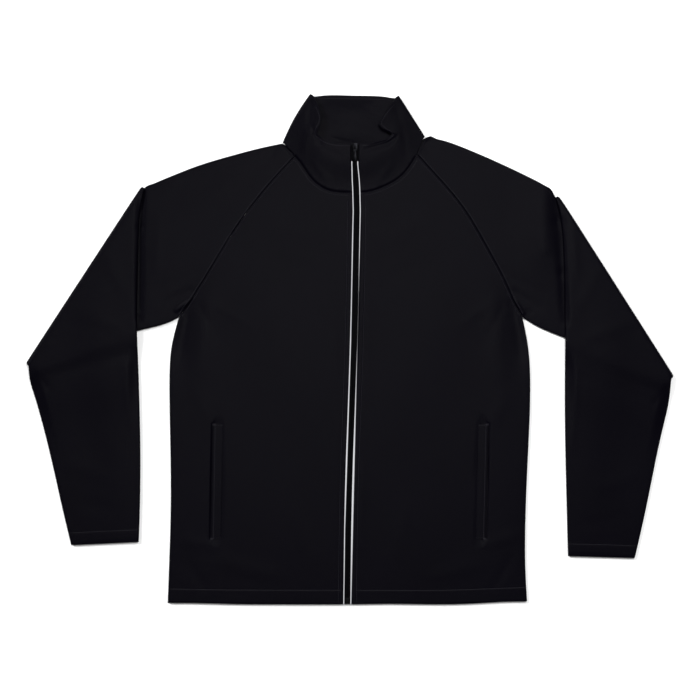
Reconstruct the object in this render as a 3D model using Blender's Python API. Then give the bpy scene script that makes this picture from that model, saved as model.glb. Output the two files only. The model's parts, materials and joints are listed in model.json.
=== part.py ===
"""A zip-front raglan jacket, laid flat on a table with its front up and each sleeve folded once.

X runs across the jacket, +Y from hem to collar and +Z up from the table. "Right" and "left" are the
wearer's, so the right half is at -X. Sizes are in millimetres and become metres where a mesh is made.
"""

import math

import bmesh
import bpy
import numpy as np
from mathutils import Vector
from mathutils.bvhtree import BVHTree

MM = 0.001
SIDES = {"right": -1, "left": 1}

# ---------------------------------------------------------------- driving sizes, in millimetres
CLOTH = 1.5  # wall of the bonded cloth
FACING = 1.0  # wall of the collar's inner band
SEAM = 0.3  # clear gap between pieces that are sewn or lie together
LAID = 6.0  # height of two layers of cloth on each other, with the air between them
TURN = LAID / 2 - SEAM / 2 - 0.1  # radius of each half of a side seam's rounded edge

HEM_Y = -396.0
NECK_Y = 246.3  # the collar seam beside the zip
COLLAR_TOP_Y = 321.0  # the collar's top edge beside the zip
COLLAR_LIFT = 7.0  # how far that top edge stands above the front panels
COLLAR_LIFT_LENGTH = 58.0
SIDE_FADE = 16.0  # how far from a side seam the soft folds reach their full height
ZIP_FADE = 30.0  # the same beside the zip
FACING_GAP = 0.4

PIPING_OFFSET = 5.5  # from the zip's centre line to the middle of a piping
PIPING_WIDTH = 2.0
PIPING_PROUD = 0.5  # how far a piping stands above the front panel
PIPING_TOP_Y = 297.0
ZIP_EDGE = PIPING_OFFSET + PIPING_WIDTH / 2 + SEAM  # from the centre line to the front panel
TAPE_SLIT = 0.4  # half of the slit between the two tapes
TAPE_WIDTH = 12.4
TAPE = 0.9
TAPE_TOP = LAID - CLOTH - SEAM
TAPE_END_Y = 318.8

SLIDER_AXIS_Y = 317.0
SLIDER_WIDTH = 8.4
SLIDER_PLATE = 1.5
BAIL_WIDTH = 1.6
BAIL_ROOM = 0.95  # clear height and reach of the bail's opening round the pull's axis
BAIL_WIRE = 0.9
PULL_LENGTH = 25.0
PULL_WIDTH = 5.0
PULL = 1.1
ZIP_BOX = (7.0, 10.0, 2.2)  # width, length and height of the retainer at the foot of the zip

WELT = 1.0
WELT_WIDTH = 15.0
WELT_GAP = 0.35

SLEEVE_REST = 0.4  # gap between the folded forearm and the sleeve under it
DRAPE_START = 8.0  # where the forearm starts to come down past the edge of the sleeve under it
DRAPE = 34.0  # length over which it comes down to the table
FOLD_STEPS = 6
ROUND = (0, 30, 60, 90)  # angles of the points that round a sleeve's edge
TURN_ROUND = (0, 35, 65, 84, 90)  # the same for a body panel's edge

# ---------------------------------------------------------------- tables of the laid-out jacket
# The zip's centre line leans and bends a little: (y, x).
ZIP_LINE = [
    (-396, -4.2), (-290, -3.0), (-190, -0.9), (-90, 3.0), (0, 6.2),
    (80, 8.2), (160, 9.6), (220, 10.6), (250, 9.8), (290, 7.5), (330, 7.4),
]

# Side seams from hem to armpit: (x, y).
SIDE_SEAMS = {
    "right": [(-284, -394), (-282, -340), (-279, -240), (-280, -140), (-281.5, -60), (-280, 0), (-267, 50)],
    "left": [(276, -391.5), (273, -340), (274, -240), (278.5, -140), (281.5, -60), (279, 0), (269, 50)],
}
# The front hem between the zip and the side seam, which rises a little there: (x, y).
HEM = {
    "right": [(-110, -396), (-190, -395.5), (-235, -394)],
    "left": [(60, -395), (150, -396), (195, -394.8), (235, -392)],
}
# Raglan seams from armpit to collar: (x, y).
RAGLAN_FRONT = {
    "right": [(-267, 50), (-246, 80), (-225, 112), (-180, 188), (-155, 222), (-124, 261), (-85, 302)],
    "left": [(269, 50), (255, 76), (235, 122), (207, 170), (178, 222), (141, 264), (104, 305)],
}
RAGLAN_BACK = {
    "right": [(-267, 50), (-238, 96), (-190, 172), (-130, 256), (-80, 311)],
    "left": [(269, 50), (244, 96), (198, 172), (142, 256), (92, 316)],
}
# Collar seam: each front half from the zip out to the raglan seam, and the back: (x, y).
NECK_FRONT = {
    "right": [(-14, 246.5), (-33, 249), (-51, 259), (-62, 270), (-74, 289), (-85, 302)],
    "left": [(29, 247.0), (48, 253), (65, 261), (79, 270), (91, 284), (104, 305)],
}
NECK_BACK = [(-80, 311), (-42, 302), (6, 299), (54, 303), (92, 316)]
SHOULDER = {"right": (-106, 322), "left": (118, 331)}

# Upper sleeve: the edges from the collar and from the armpit to the fold: (x, y).
OVERARM = {
    "right": [(-106, 322), (-140, 315), (-180, 304.3), (-240, 286.6), (-280, 270.4), (-305, 260)],
    "left": [(118, 331), (140, 329), (180, 314.3), (240, 288.4), (284, 267.2), (303, 257.7)],
}
UNDERARM = {
    "right": [(-267, 50), (-280, 43), (-331, 30), (-420, 5)],
    "left": [(269, 50), (282, 41), (331, 20), (420, -13)],
}
# The outline of each sleeve's fold, from its overarm end to its underarm end: (x, y).
FOLD_LINE = {
    "right": [(-325.5, 254.5), (-505.5, -21.0)],
    "left": [(325.5, 240.8), (505.0, -41.0)],
}
# Folded forearm: the overarm edge and the underarm edge, from the fold to the cuff: (x, y).
FOREARM_INNER = {
    "right": [(-326, 228), (-329, 160), (-331, 30), (-328, -80), (-326, -200), (-329, -299)],
    "left": [(329.5, 205), (332, 165), (334.5, 30), (335, -140), (337, -220), (339.5, -321)],
}
FOREARM_OUTER = {
    "right": [(-498, -50), (-489, -80), (-472.5, -140), (-458.5, -200), (-445.5, -260), (-434.5, -304)],
    "left": [(497, -80), (483, -140), (471, -200), (459, -260), (444, -324)],
}
# Where each ring of the forearm crosses its inner and its outer edge, as shares of their lengths. The
# rings swing round until one lies along the edge of the sleeve below, and then run square to the arm.
FOREARM_RINGS = [
    (0.07, 0.012), (0.16, 0.026), (0.25, 0.040), (0.33, 0.052), (0.375, 0.062), (0.405, 0.075),
    (0.435, 0.098), (0.465, 0.13), (0.50, 0.175), (0.55, 0.25), (0.63, 0.38), (0.75, 0.58),
    (0.88, 0.80), (1.0, 1.0),
]
UPPER_RINGS = (0, 0.1, 0.22, 0.36, 0.5, 0.64, 0.77, 0.88, 0.94, 1.0)

# Shares of a raglan seam at its points, and how far the cloth has risen there from its rounded edge.
RAGLAN_STEPS = [
    (0, 0), (0.003, 0.5), (0.0105, 0.87), (0.0215, 1), (0.1, 1), (0.24, 1),
    (0.4, 1), (0.56, 1), (0.71, 1), (0.86, 1), (1, 1),
]
COLLAR_STEPS = (0.45, 0.876, 0.938, 0.983, 1.0)  # the sleeve's short stretch of collar seam
SIDE_STEPS = (0, 0.06, 0.15, 0.27, 0.4, 0.53, 0.66, 0.78, 0.88, 0.95)
FRONT_COLUMNS = (0, 0.06, 0.16, 0.28, 0.40, 0.52, 0.64, 0.76, 0.86, 0.94, 1.0)
BACK_COLUMNS = (0, 0.05, 0.15, 0.28, 0.42, 0.58, 0.72, 0.85, 0.95, 1.0)
ARMPIT_SHARE = 0.67  # where the rows of a body panel change from side seam to raglan seam

# The collar's top edge from beside the zip out to the side fold: (x, y, height above the table). The
# right edge rolls outwards once, and the left one buckles into a short zigzag.
COLLAR_TOP = {
    "right": [
        (-8, 321, 13), (-22, 321.5, 13), (-34, 324.5, 13), (-44, 330, 13), (-48, 338, 14),
        (-46.5, 347, 16), (-45, 358, 17.5), (-46.5, 370, 17.5), (-51.5, 381, 16.5), (-57, 391, 15),
    ],
    "left": [
        (20, 321, 13), (30, 321.5, 13), (43, 324.5, 12.5), (54, 329, 12), (59, 335.5, 12),
        (56, 343, 13.5), (53, 351, 16), (53, 360, 17.5), (56.5, 370, 17.5), (64, 381, 16.5),
        (71, 389, 15),
    ],
}
# Where the collar's columns start on its seam and end on its top edge, as shares of both. They fan
# out from the shoulders, because the top edge is the shorter one in front.
COLLAR_FAN = [(0, 0), (0.05, 0.066), (0.3, 0.24), (0.6, 0.38), (0.8, 0.58), (1, 1)]
# The collar's side folds, at the shoulder and at the top: (x, y, half of the height there).
COLLAR_SIDES = {
    "right": [(-105.1, 323.2, LAID / 2), (-62.5, 398.5, 7.2)],
    "left": [(117.1, 332.2, LAID / 2), (76.5, 396, 7.2)],
}
COLLAR_BULGE = {"right": 3.0, "left": 0.0}  # how far a side fold bows outwards halfway up
COLLAR_BACK_TOP = [(-40, 396.8), (6, 396.5), (54, 394.8)]
COLLAR_ROWS = (0, 0.1, 0.22, 0.35, 0.48, 0.6, 0.72, 0.84, 0.94, 1.0)
COLLAR_ROLL = (0, 30, 60, 90, 120, 150, 180)

# Pocket openings: the welt's outer edge at its top and its bottom end: (x, y).
POCKETS = {"right": [(-213, -116), (-216, -294)], "left": [(215, -116), (211, -294)]}

# Soft folds of the upper layer, from (x0, y0) to (x1, y1), with half width and height. A height below
# zero is a trough.
FOLDS = [
    (-247, 72, -262, -2, 12, -2.1), (-231, 70, -240, -40, 18, 0.9), (248, 72, 261, -6, 12, -2.1),
    (230, 66, 238, -50, 19, 0.9), (-150, 120, -60, -60, 48, 0.8), (150, 90, 70, -90, 48, 0.7),
    (-215, 40, -120, -200, 40, -0.6), (215, 20, 125, -210, 42, -0.6), (-120, -190, -70, -360, 34, 0.6),
    (130, -170, 90, -350, 36, 0.7), (-232, -200, -236, -360, 26, 0.5), (240, -190, 238, -350, 24, 0.5),
    (-190, 260, -300, 120, 30, 0.8), (-150, 280, -250, 180, 22, -0.7), (200, 268, 290, 130, 30, 0.8),
    (160, 285, 262, 190, 22, -0.7), (314, 222, 324, 60, 10, -1.4), (-318, 236, -322, 60, 8, -0.7),
    (-400, 100, -380, -60, 34, 0.8), (-440, 40, -400, -160, 30, -0.7), (-370, -90, -362, -270, 26, 0.7),
    (410, 90, 392, -70, 34, 0.8), (452, 20, 420, -170, 30, -0.7), (378, -110, 372, -290, 26, 0.7),
]

FINISHES = {  # colour, roughness and metallic value
    "cloth": ((0.011, 0.011, 0.015, 1), 0.75, 0.0),
    "facing": ((0.009, 0.009, 0.011, 1), 0.8, 0.0),
    "reflective": ((0.50, 0.50, 0.52, 1), 0.45, 0.0),
    "tape": ((0.006, 0.006, 0.007, 1), 0.85, 0.0),
    "metal": ((0.16, 0.16, 0.17, 1), 0.35, 1.0),
    "plastic": ((0.012, 0.012, 0.013, 1), 0.45, 0.0),
}


# ---------------------------------------------------------------- curves, patches and heights
def curve(points, shares):
    """Points at these shares of the length of a smooth curve through a table's points."""
    points = np.array(points, float)
    steps = np.linalg.norm(np.diff(points, axis=0), axis=1)
    knots = np.concatenate([[0], np.cumsum(steps)])
    slopes = np.gradient(points, knots, axis=0)
    at = np.clip(np.asarray(shares, float), 0, 1) * knots[-1]
    span = np.clip(np.searchsorted(knots, at, side="right") - 1, 0, len(steps) - 1)
    width = steps[span][:, None]
    t = (at - knots[span])[:, None] / width
    return (
        (2 * t**3 - 3 * t**2 + 1) * points[span]
        + (t**3 - 2 * t**2 + t) * width * slopes[span]
        + (3 * t**2 - 2 * t**3) * points[span + 1]
        + (t**3 - t**2) * width * slopes[span + 1]
    )


def patch(bottom, top, start, end, rows, columns):
    """A grid of points [row][column] that blends four edge curves. rows and columns are shares."""
    u, v = np.array(columns)[None, :, None], np.array(rows)[:, None, None]
    across = (1 - v) * bottom[None] + v * top[None]
    along = (1 - u) * start[:, None] + u * end[:, None]
    low = (1 - u) * bottom[0] + u * bottom[-1]
    high = (1 - u) * top[0] + u * top[-1]
    return across + along - (1 - v) * low - v * high


def length_shares(points):
    """The share of a polyline's length at each of its points."""
    steps = np.linalg.norm(np.diff(points, axis=0), axis=1)
    return np.concatenate([[0], np.cumsum(steps)]) / steps.sum()


def beside(points, distance):
    """A plan curve moved sideways, to the left of its direction when distance is positive."""
    along = np.gradient(points, axis=0)
    along /= np.linalg.norm(along, axis=1, keepdims=True)
    return points + distance * np.stack([-along[:, 1], along[:, 0]], -1)


def smooth(t):
    t = np.clip(t, 0, 1)
    return t * t * (3 - 2 * t)


def with_height(plan, height):
    return np.concatenate([plan, np.broadcast_to(height, plan.shape[:-1])[..., None]], -1)


def relief(plan):
    """Height of the soft folds at plan points."""
    height = np.zeros(plan.shape[:-1])
    for x0, y0, x1, y1, width, rise in FOLDS:
        start, run = np.array([x0, y0]), np.array([x1 - x0, y1 - y0], float)
        share = np.clip(((plan - start) @ run) / (run @ run), 0, 1)
        away = np.linalg.norm(plan - start - share[..., None] * run, axis=-1)
        height += rise * np.exp(-((away / width) ** 2))
    return height


def zip_x(y):
    """The zip's centre line at a height y of the laid-out jacket."""
    table = np.array(ZIP_LINE)
    return np.interp(y, table[:, 0], table[:, 1])


def zip_lift(y):
    """How far the zip has risen above the front panels at y, on its way up the collar."""
    return COLLAR_LIFT * smooth((np.asarray(y) - NECK_Y - 3) / COLLAR_LIFT_LENGTH)


def panel_rows():
    """Shares of the rows of a body panel, from hem to collar, and how flat the outer edge lies there."""
    side = [(ARMPIT_SHARE * share, 0.0) for share in SIDE_STEPS]
    raglan = [(ARMPIT_SHARE + (1 - ARMPIT_SHARE) * share, rise) for share, rise in RAGLAN_STEPS]
    return np.array(side + raglan)


def zip_ys(end_y):
    """Where the zip's pieces have points: at each row of the front panels and of the collar."""
    panel = HEM_Y + (NECK_Y - HEM_Y) * panel_rows()[:, 0]
    collar = NECK_Y + (COLLAR_TOP_Y - NECK_Y) * np.array(COLLAR_ROWS)
    rows = np.unique(np.round(np.concatenate([panel, collar[1:]]), 3))
    rows = rows[np.concatenate([[True], np.diff(rows) > 1.5])]
    return np.append(rows[rows < end_y - 1.5], end_y)


# ---------------------------------------------------------------- making objects
def finish_material(name):
    """One material for each object, with the colour of its finish."""
    finish, owner = name
    colour, roughness, metallic = FINISHES[finish]
    made = bpy.data.materials.new(owner)
    made.use_nodes = True
    shader = made.node_tree.nodes["Principled BSDF"]
    shader.inputs["Base Color"].default_value = colour
    shader.inputs["Roughness"].default_value = roughness
    shader.inputs["Metallic"].default_value = metallic
    made.diffuse_color = colour
    return made


def add_object(name, shape, finish):
    """An object from a bmesh that is in millimetres."""
    bmesh.ops.scale(shape, vec=(MM, MM, MM), verts=shape.verts)
    mesh = bpy.data.meshes.new(name)
    shape.to_mesh(mesh)
    shape.free()
    mesh.materials.append(finish_material((finish, name)))
    mesh.shade_smooth()
    mesh.set_sharp_from_angle(angle=math.radians(40))
    made = bpy.data.objects.new(name, mesh)
    bpy.context.collection.objects.link(made)
    return made


def grid_shape(points):
    """A bmesh grid from points [row][column][x, y, z]. Its faces look along columns x rows."""
    rows, columns = points.shape[:2]
    shape = bmesh.new()
    bmesh.ops.create_grid(shape, x_segments=columns - 1, y_segments=rows - 1, size=1)
    for vertex, point in zip(shape.verts, points.reshape(-1, 3)):
        vertex.co = point
    return shape


def sheet(name, points, wall, finish="cloth", even=True):
    """Cloth from the points of its outer side, whose faces look outwards, with the wall behind them.
    The wall is even, or measured along the points' own normals where the cloth buckles sharply."""
    made = add_object(name, grid_shape(points), finish)
    thickness = made.modifiers.new("wall", "SOLIDIFY")
    thickness.thickness = wall * MM
    thickness.offset = -1
    thickness.use_even_offset = even
    return made


def bar(name, rings, finish):
    """A solid bar from its closed cross sections [section][point], with flat ends."""
    shape = grid_shape(np.concatenate([rings, rings[:, :1]], 1))
    bmesh.ops.remove_doubles(shape, verts=shape.verts, dist=1e-4)
    bmesh.ops.holes_fill(shape, edges=[edge for edge in shape.edges if edge.is_boundary], sides=0)
    bmesh.ops.recalc_face_normals(shape, faces=shape.faces)
    return add_object(name, shape, finish)


def tube(name, outside, inside, finish="cloth"):
    """A tube of cloth from the closed rings of its outside and its inside, open at both ends."""
    rings = np.concatenate([outside, inside[::-1], outside[:1]])
    shape = grid_shape(np.concatenate([rings, rings[:, :1]], 1))
    bmesh.ops.remove_doubles(shape, verts=shape.verts, dist=1e-4)
    bmesh.ops.recalc_face_normals(shape, faces=shape.faces)
    return add_object(name, shape, finish)


def slab(name, outline, start, thickness, finish):
    """A flat plate: an outline of points, closed and moved along the thickness vector."""
    shape = bmesh.new()
    corners = [shape.verts.new(Vector(point) + Vector(start)) for point in outline]
    face = shape.faces.new(corners)
    made = bmesh.ops.extrude_face_region(shape, geom=[face])["geom"]
    moved = [item for item in made if isinstance(item, bmesh.types.BMVert)]
    bmesh.ops.translate(shape, vec=thickness, verts=moved)
    bmesh.ops.recalc_face_normals(shape, faces=shape.faces)
    return add_object(name, shape, finish)


def combine(target, tool, operation):
    """Joins a tool object to a target, or cuts it out."""
    step = target.modifiers.new(tool.name, "BOOLEAN")
    step.operation = operation
    step.solver = "EXACT"
    step.object = tool
    tool.hide_render = True
    tool.display_type = "WIRE"


# ---------------------------------------------------------------- body
def outer_edge(side, raglan):
    """A body panel's outer edge, from the hem up the side seam and then up the raglan seam."""
    low = curve(SIDE_SEAMS[side], SIDE_STEPS)
    high = curve(raglan[side], [share for share, rise in RAGLAN_STEPS])
    return np.concatenate([low, beside(high, SIDES[side] * SEAM / 2)])


def rounded_edge(plan, flatness):
    """The columns that round a panel's last column towards the other panel, as plan points and how
    far each has sunk."""
    edge = plan[:, -1]
    inwards = plan[:, -2] - edge
    inwards /= np.linalg.norm(inwards, axis=1, keepdims=True)
    points, sinks = [], []
    for angle in np.radians(TURN_ROUND):
        points.append(edge + inwards * TURN * (1 - math.sin(angle)))
        sinks.append(TURN * (1 - math.cos(angle)) * (1 - flatness))
    return np.stack(points, 1), np.stack(sinks, 1)


def front_neck(side):
    """Points of the collar seam from beside the zip to the front raglan seam."""
    start = (zip_x(NECK_Y) + SIDES[side] * ZIP_EDGE, NECK_Y)
    return curve([start] + NECK_FRONT[side], FRONT_COLUMNS)


def front_panel(side):
    sign = SIDES[side]
    rows, flatness = panel_rows().T
    ys = HEM_Y + (NECK_Y - HEM_Y) * rows
    inner = np.stack([zip_x(ys) + sign * ZIP_EDGE, ys], -1)
    outer = outer_edge(side, RAGLAN_FRONT)
    neck = beside(front_neck(side), -sign * SEAM / 2)
    neck[0], neck[-1] = inner[-1], outer[-1]
    hem = curve([tuple(inner[0])] + HEM[side] + [tuple(outer[0])], FRONT_COLUMNS)
    plan = patch(hem, neck, inner, outer, rows, FRONT_COLUMNS)
    edge, sinks = rounded_edge(plan, flatness)
    plan = np.concatenate([plan[:, :-1], edge], 1)
    from_zip = np.abs(plan[..., 0] - zip_x(plan[..., 1])) - ZIP_EDGE
    from_side = np.linalg.norm(plan - plan[:, -1:], axis=-1)
    free = flatness[:, None] + (1 - flatness[:, None]) * smooth(from_side / SIDE_FADE)
    height = LAID + relief(plan) * smooth(from_zip / ZIP_FADE) * free
    height[:, -len(TURN_ROUND):] -= sinks
    points = with_height(plan, height)
    return sheet(f"front_{side}", points if sign > 0 else points[:, ::-1], CLOTH)


def back_panel():
    rows, flatness = panel_rows().T
    start, end = outer_edge("right", RAGLAN_BACK), outer_edge("left", RAGLAN_BACK)
    neck = beside(curve(NECK_BACK, BACK_COLUMNS), -SEAM / 2)
    neck[0], neck[-1] = start[-1], end[-1]
    hem = start[0] + (end[0] - start[0]) * np.array(BACK_COLUMNS)[:, None]
    plan = patch(hem, neck, start, end, rows, BACK_COLUMNS)
    right_edge, right_rise = rounded_edge(plan[:, ::-1], flatness)
    left_edge, left_rise = rounded_edge(plan, flatness)
    plan = np.concatenate([right_edge[:, ::-1], plan[:, 1:-1], left_edge], 1)
    height = np.zeros(plan.shape[:2])
    height[:, :len(TURN_ROUND)] = right_rise[:, ::-1]
    height[:, -len(TURN_ROUND):] = left_rise
    return sheet("back", with_height(plan, height)[:, ::-1], CLOTH)


# ---------------------------------------------------------------- sleeves
def sleeve_edge(points, edge, inwards_to, wall):
    """The four columns that round a sleeve's edge: plan points from the edge inwards."""
    inwards = inwards_to - edge
    inwards /= np.linalg.norm(inwards, axis=1, keepdims=True)
    along = np.gradient(edge, axis=0)
    along /= np.linalg.norm(along, axis=1, keepdims=True)
    crossing = np.abs(inwards[:, 0] * along[:, 1] - inwards[:, 1] * along[:, 0])
    crossing = np.clip(crossing, 0.42, 1)[:, None]
    radius = LAID / 2 - wall
    for column, angle in enumerate(np.radians(ROUND)):
        reach = wall + radius * (1 - math.cos(angle))
        points[:, column] = edge + inwards * reach / crossing
    return points


def sleeve_layer(plan, wall):
    """Plan points of one layer of a laid sleeve, [ring][column] from underarm to overarm, with both
    edges drawn in for their rounding."""
    plan = plan.copy()
    first, last = plan[:, 0].copy(), plan[:, -1].copy()
    sleeve_edge(plan, first, plan[:, 4], wall)
    sleeve_edge(plan[:, ::-1], last, plan[:, -5], wall)
    return plan


def layer_height(wall):
    """Height of each column above the middle of the sleeve, for an upper layer."""
    columns = len(RAGLAN_STEPS) + len(COLLAR_STEPS)
    rise = np.full(columns, LAID / 2 - wall)
    rise[:4] *= np.sin(np.radians(ROUND))
    rise[-4:] *= np.sin(np.radians(ROUND))[::-1]
    return rise


def drape(side, plan):
    """How far the forearm has come down from the sleeve under it at plan points."""
    table = np.array(UNDERARM[side] + [FOLD_LINE[side][1]], float)
    order = np.argsort(table[:, 0])
    edge_y = np.interp(plan[..., 0], table[order, 0], table[order, 1])
    beyond = (edge_y - plan[..., 1]) * 0.95
    return (LAID + SLEEVE_REST) * smooth((beyond - DRAPE_START) / DRAPE)


def covered(side, plan):
    """0 where the forearm lies on the upper sleeve, growing to 1 away from the forearm's edge."""
    table = np.array(FOREARM_INNER[side], float)[::-1]
    edge_x = np.interp(plan[..., 1], table[:, 1], table[:, 0])
    return smooth((SIDES[side] * (edge_x - plan[..., 0]) - 1) / 16)


def fold_axis(side):
    """The ends of the line that a sleeve is folded over, and the way out from the body."""
    line = np.array(FOLD_LINE[side])
    along = (line[1] - line[0]) / np.linalg.norm(line[1] - line[0])
    out = SIDES[side] * np.array([-along[1], along[0]])
    return line - out * (LAID + SLEEVE_REST / 2), out


def sleeve(side):
    sign = SIDES[side]
    axis, out = fold_axis(side)
    overarm = curve(OVERARM[side] + [tuple(axis[0])], UPPER_RINGS)
    underarm = curve(UNDERARM[side] + [tuple(axis[1])], UPPER_RINGS)
    inner_shares = [0] + [ring[0] for ring in FOREARM_RINGS]
    outer_shares = [0] + [ring[1] for ring in FOREARM_RINGS]
    inner = curve([tuple(axis[0])] + FOREARM_INNER[side], inner_shares)
    outer = curve([tuple(axis[1])] + FOREARM_OUTER[side], outer_shares)

    seams = {}
    for layer, raglan in (("front", RAGLAN_FRONT), ("back", RAGLAN_BACK)):
        seam = curve(raglan[side], [share for share, rise in RAGLAN_STEPS])
        corner = np.array(SHOULDER[side]) - seam[-1]
        stretch = seam[-1] + corner * np.array(COLLAR_STEPS)[:, None]
        seams[layer] = beside(np.concatenate([seam, stretch]), -sign * SEAM / 2)
    columns = length_shares(seams["front"])
    crease = axis[1] + (axis[0] - axis[1]) * columns[:, None]
    cuff = outer[-1] + (inner[-1] - outer[-1]) * columns[:, None]
    middle = LAID / 2
    pivot = LAID + SLEEVE_REST / 2
    skins = {}
    for skin, wall in (("outside", 0), ("inside", CLOTH)):
        layers = []
        for layer, way in (("front", 1), ("back", -1)):
            upper_start, upper_end = underarm.copy(), overarm.copy()
            upper_start[0], upper_end[0] = seams[layer][0], seams[layer][-1]
            upper = patch(seams[layer], crease, upper_start, upper_end, UPPER_RINGS, columns)
            lower = patch(crease, cuff, outer, inner, inner_shares, columns)
            upper, lower = sleeve_layer(upper, wall), sleeve_layer(lower, wall)
            rise = way * layer_height(wall)
            share = np.abs(layer_height(0)) / middle
            heights = middle + rise + np.zeros(upper.shape[:2])
            if way > 0:
                heights += relief(upper) * covered(side, upper) * share
            rings = [with_height(upper, heights)]
            # The bend: each point turns about the fold's axis at its own distance from it.
            reach = pivot - (middle + rise)
            for step in range(1, FOLD_STEPS):
                angle = math.pi * step / FOLD_STEPS
                plan = upper[-1] + out * (reach * math.sin(angle))[:, None]
                rings.append(with_height(plan, pivot - reach * math.cos(angle))[None])
            heights = 2 * pivot - middle - rise - drape(side, lower)
            if way < 0:
                from_fold = np.abs((lower - axis[0]) @ out)
                heights = heights + relief(lower) * smooth(from_fold / 25) * share
            lower_points = with_height(lower, heights)
            lower_points[0, :, :2] = upper[-1]
            rings.append(lower_points)
            layers.append(np.concatenate(rings))
        skins[skin] = np.concatenate([layers[0], layers[1][:, -2:0:-1]], 1)
    return tube(f"sleeve_{side}", skins["outside"], skins["inside"])


# ---------------------------------------------------------------- collar
def collar_front(side):
    """Points of the collar's front half from the zip out to the top of its side fold."""
    sign = SIDES[side]
    ys = NECK_Y + SEAM / 2 + (COLLAR_TOP_Y - NECK_Y - SEAM / 2) * np.array(COLLAR_ROWS)
    start = np.stack([zip_x(ys) + sign * ZIP_EDGE, ys, LAID + zip_lift(ys)], -1)
    roll = collar_roll(side)[:, 0]
    seam = beside(front_neck(side), sign * SEAM / 2)
    seam[0] = start[0, :2]
    corner = roll[0, :2]
    seam = np.concatenate([seam, [(seam[-1] + corner) / 2, corner]])
    columns = length_shares(seam)
    fan = np.interp(columns, *np.array(COLLAR_FAN).T)
    top = curve([tuple(start[-1])] + COLLAR_TOP[side] + [tuple(roll[-1])], fan)
    return patch(with_height(seam, LAID), top, start, roll, COLLAR_ROWS, columns)


def collar_roll(side):
    """Points round the collar's side fold, [row][angle], from its top to the table."""
    low, high = np.array(COLLAR_SIDES[side], float)
    along = (high - low)[:2] / np.linalg.norm((high - low)[:2])
    out = SIDES[side] * np.array([along[1], -along[0]])
    rows = []
    for share in COLLAR_ROWS:
        x, y, half = low + (high - low) * share
        x, y = np.array([x, y]) + out * COLLAR_BULGE[side] * math.sin(math.pi * share)
        row = []
        for angle in np.radians(COLLAR_ROLL):
            plan = np.array([x, y]) - out * half * (1 - math.sin(angle))
            row.append((*plan, half * (1 + math.cos(angle))))
        rows.append(row)
    return np.array(rows)


def collar_grid():
    """Points of the collar's outside, from the right zip edge round the neck to the left one."""
    rolls = {side: collar_roll(side) for side in SIDES}
    start, end = rolls["right"][:, -1], rolls["left"][:, -1]
    neck = beside(curve(NECK_BACK, BACK_COLUMNS), SEAM / 2)
    seam = np.concatenate([start[:1, :2], neck, end[:1, :2]])
    columns = length_shares(seam)
    top = curve([tuple(start[-1, :2])] + COLLAR_BACK_TOP + [tuple(end[-1, :2])], columns)
    back = patch(with_height(seam, 0.0), with_height(top, 0.0), start, end, COLLAR_ROWS, columns)
    return np.concatenate([
        collar_front("right"), rolls["right"][:, 1:], back[:, 1:-1],
        rolls["left"][:, ::-1][:, :-1], collar_front("left")[:, ::-1],
    ], 1)


def collar():
    """The outer band and, inside it, the facing, which starts beyond the zip tapes."""
    outside = collar_grid()[:, ::-1]
    normal = np.cross(np.gradient(outside, axis=1), np.gradient(outside, axis=0))
    normal /= np.linalg.norm(normal, axis=-1, keepdims=True)
    inside = outside - normal * (CLOTH + FACING_GAP)
    band = sheet("collar", outside, CLOTH, even=False)
    return band, sheet("collar_facing", inside[:, 1:-1], FACING, "facing", even=False)


# ---------------------------------------------------------------- zip and pockets
def zip_strip(name, side, near, far, bottom, top, end_y, finish):
    """A strip along the zip between two distances from its centre line and two heights."""
    sign = SIDES[side]
    rings = []
    for y in zip_ys(end_y):
        x, lift = zip_x(y), zip_lift(y)
        rings.append([(x + sign * near, y, bottom + lift), (x + sign * far, y, bottom + lift),
                      (x + sign * far, y, top + lift), (x + sign * near, y, top + lift)])
    return bar(name, np.array(rings), finish)


def zip_tape(side):
    return zip_strip(f"zip_tape_{side}", side, TAPE_SLIT, TAPE_SLIT + TAPE_WIDTH,
                     TAPE_TOP - TAPE, TAPE_TOP, TAPE_END_Y, "tape")


def piping(side):
    return zip_strip(f"piping_{side}", side, PIPING_OFFSET - PIPING_WIDTH / 2,
                     PIPING_OFFSET + PIPING_WIDTH / 2, TAPE_TOP + SEAM, LAID + PIPING_PROUD,
                     PIPING_TOP_Y, "reflective")


def slider():
    """The slider at the top of the zip, round both tapes, and the bail that holds its pull."""
    x, axis = zip_x(SLIDER_AXIS_Y), SLIDER_AXIS_Y
    tape_top = TAPE_TOP + COLLAR_LIFT
    under, over = tape_top - TAPE - SEAM, tape_top + SEAM
    low, high = under - 1.0, over + SLIDER_PLATE
    foot, nose, post = axis - 7.5, axis + 4.5, TAPE_END_Y + SEAM
    plates = [(0, foot, over), (0, foot, high), (0, nose, high), (0, nose, low),
              (0, foot, low), (0, foot, under), (0, post, under), (0, post, over)]
    body = slab("zip_slider", plates, (x - SLIDER_WIDTH / 2, 0, 0), (SLIDER_WIDTH, 0, 0), "metal")
    pin = high + BAIL_ROOM
    back, front, reach = axis + BAIL_ROOM, axis - BAIL_ROOM - 2.45, BAIL_WIRE
    arch = [(0, back + reach, high - 0.5), (0, back + reach, pin + BAIL_ROOM + reach),
            (0, front - reach, pin + BAIL_ROOM + reach), (0, front - reach, high - 0.5),
            (0, front, high - 0.5), (0, front, pin + BAIL_ROOM), (0, back, pin + BAIL_ROOM),
            (0, back, high - 0.5)]
    bail = slab("bail", arch, (x - BAIL_WIDTH / 2, 0, 0), (BAIL_WIDTH, 0, 0), "metal")
    combine(body, bail, "UNION")
    return body, Vector((x, axis, pin))


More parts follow.
